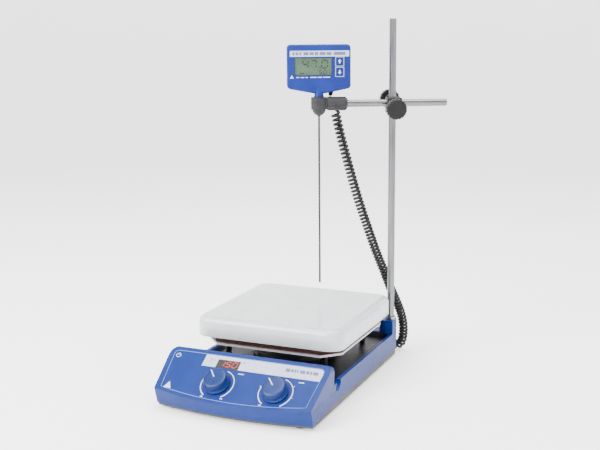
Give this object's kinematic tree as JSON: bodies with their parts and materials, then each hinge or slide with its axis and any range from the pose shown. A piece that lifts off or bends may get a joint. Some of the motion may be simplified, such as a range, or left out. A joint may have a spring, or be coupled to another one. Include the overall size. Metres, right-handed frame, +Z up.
{
  "type": "magnetic stirrer",
  "caption": "Heating magnetic stirrer with a sloped control panel, square ceramic plate, support rod, boss head, clamp and contact thermometer on a curly cord.",
  "frame": {"origin": "centre of the base's footprint on the table", "axes": "+Z up, -Y towards the control panel, +X to the right seen from the front"},
  "size_m": [0.2834, 0.3596, 0.481],
  "materials": {
    "blue_paint": "satin powder coat",
    "blue_plastic": "fine moulded grain",
    "blue_knob": "moulded, slightly glossy",
    "blue_film": "printed film",
    "grey_plastic": "moulded",
    "dark_metal": "textured dark coat",
    "black_plastic": "moulded",
    "black_cable": "smooth polyurethane sheath",
    "foot_rubber": "matt",
    "steel": "ground and polished",
    "zinc": "zinc plated",
    "white_ceramic": "glazed, easy to clean",
    "heater_foil": "heat resistant",
    "insulation": "pressed mineral board",
    "board": "circuit board",
    "copper": "wound wire",
    "magnet": "nickel plated",
    "display_black": "tinted window",
    "lcd": "reflective display",
    "clear_window": "clear",
    "label_silver": "blank label"
  },
  "bodies": {
    "base": {"lower_shell": "grey_plastic", "feet": "foot_rubber", "bottom_screws": "zinc", "rating_plate": "label_silver", "housing": "blue_paint", "panel_overlay": "blue_film", "display_window": "display_black", "display_module": "black_plastic", "control_board": "board", "heat_potentiometer": "zinc", "speed_potentiometer": "zinc", "power_board": "board", "mains_inlet": "black_plastic", "fuse_cap": "black_plastic", "sensor_socket": "zinc", "switch_frame": "black_plastic", "heating_plate": "white_ceramic", "heater_element": "heater_foil", "insulation": "insulation", "heat_shield": "steel", "standoffs": "zinc", "plate_sensor": "steel", "motor_dome": "black_plastic", "motor_bracket": "zinc", "motor_stator": "copper", "bearings": "steel", "rod_nut": "steel", "cord_low": "black_cable", "cord_plug": "black_plastic"},
    "rocker": {"switch_rocker": "black_plastic"},
    "heat_control": {"heat_knob": "blue_knob", "heat_shaft": "zinc"},
    "speed_control": {"speed_knob": "blue_knob", "speed_shaft": "zinc"},
    "rotor": {"motor_shaft": "steel", "motor_rotor": "zinc", "cooling_fan": "black_plastic", "magnet_carrier": "zinc", "drive_magnets": "magnet"},
    "rod": {"support_rod": "steel", "cord_long": "black_cable"},
    "boss": {"boss_head": "dark_metal", "cord_middle": "black_cable"},
    "front_screw": {"boss_front_screw": "black_plastic"},
    "rear_screw": {"boss_rear_screw": "black_plastic"},
    "arm": {"arm_rod": "steel", "cord_top": "black_cable"},
    "clamp": {"clamp_body": "dark_metal", "cord_stub": "black_cable"},
    "clamp_ring": {"clamp_nut": "dark_metal"},
    "meter": {"meter_front": "blue_plastic", "meter_back": "blue_plastic", "meter_lcd": "lcd", "meter_window": "clear_window", "meter_board": "board", "meter_neck": "blue_plastic", "probe": "steel", "cable_gland": "black_cable"},
    "up_key": {"key_up": "blue_film"},
    "down_key": {"key_down": "blue_film"}
  },
  "joints": [
    {"name": "mains_switch", "type": "hinge", "parent": "base", "child": "rocker", "pos_m": [-0.1065, -0.108, 0.0196], "axis": [0, 0, 1], "range_deg": [0, 14]},
    {"name": "heat_turn", "type": "hinge", "parent": "base", "child": "heat_control", "pos_m": [-0.0255, -0.14622, 0.03843], "axis": [0, -0.5476, 0.8368], "range_deg": [-180, 105]},
    {"name": "speed_turn", "type": "hinge", "parent": "base", "child": "speed_control", "pos_m": [0.0535, -0.14622, 0.03843], "axis": [0, -0.5476, 0.8368], "range_deg": [-180, 105]},
    {"name": "drive_spin", "type": "hinge", "parent": "base", "child": "rotor", "pos_m": [0, 0.039, 0.02], "axis": [0, 0, 1], "continuous": true},
    {"name": "rod_swivel", "type": "hinge", "parent": "base", "child": "rod", "pos_m": [0.099, 0.149, 0.06], "axis": [0, 0, 1], "range_deg": [-45, 30], "deforming": ["cord_low"]},
    {"name": "boss_lift", "type": "slide", "parent": "rod", "child": "boss", "axis": [0, 0, 1], "range_m": [-0.018, 0.09], "deforming": ["cord_long"]},
    {"name": "front_screw_turn", "type": "hinge", "parent": "boss", "child": "front_screw", "pos_m": [0.11243, 0.12218, 0.36], "axis": [0.4478, -0.8942, 0], "range_deg": [-30, 360]},
    {"name": "rear_screw_turn", "type": "hinge", "parent": "boss", "child": "rear_screw", "pos_m": [0.08781, 0.17135, 0.37], "axis": [-0.4478, 0.8942, 0], "range_deg": [-30, 360]},
    {"name": "arm_slide", "type": "slide", "parent": "boss", "child": "arm", "axis": [0.8942, 0.4478, 0], "range_m": [-0.045, 0.04], "deforming": ["cord_middle"]},
    {"name": "clamp_roll", "type": "hinge", "parent": "arm", "child": "clamp", "pos_m": [0.02927, 0.09842, 0.367], "axis": [0.8942, 0.4478, 0], "range_deg": [-25, 25], "deforming": ["cord_top"]},
    {"name": "clamp_ring_turn", "type": "hinge", "parent": "clamp", "child": "clamp_ring", "pos_m": [0.03821, 0.1029, 0.367], "axis": [0.8942, 0.4478, 0], "range_deg": [-30, 180]},
    {"name": "meter_turn", "type": "hinge", "parent": "clamp", "child": "meter", "pos_m": [0.01317, 0.09036, 0.38], "axis": [0, 0, 1], "range_deg": [-30, 30], "deforming": ["cord_stub"]},
    {"name": "up_key_press", "type": "slide", "parent": "meter", "child": "up_key", "axis": [-0.4478, 0.8942, 0], "range_m": [0, 0.0005], "stiffness_N_per_m": 3000, "springref_m": -0.0003},
    {"name": "down_key_press", "type": "slide", "parent": "meter", "child": "down_key", "axis": [-0.4478, 0.8942, 0], "range_m": [0, 0.0005], "stiffness_N_per_m": 3000, "springref_m": -0.0003}
  ]
}
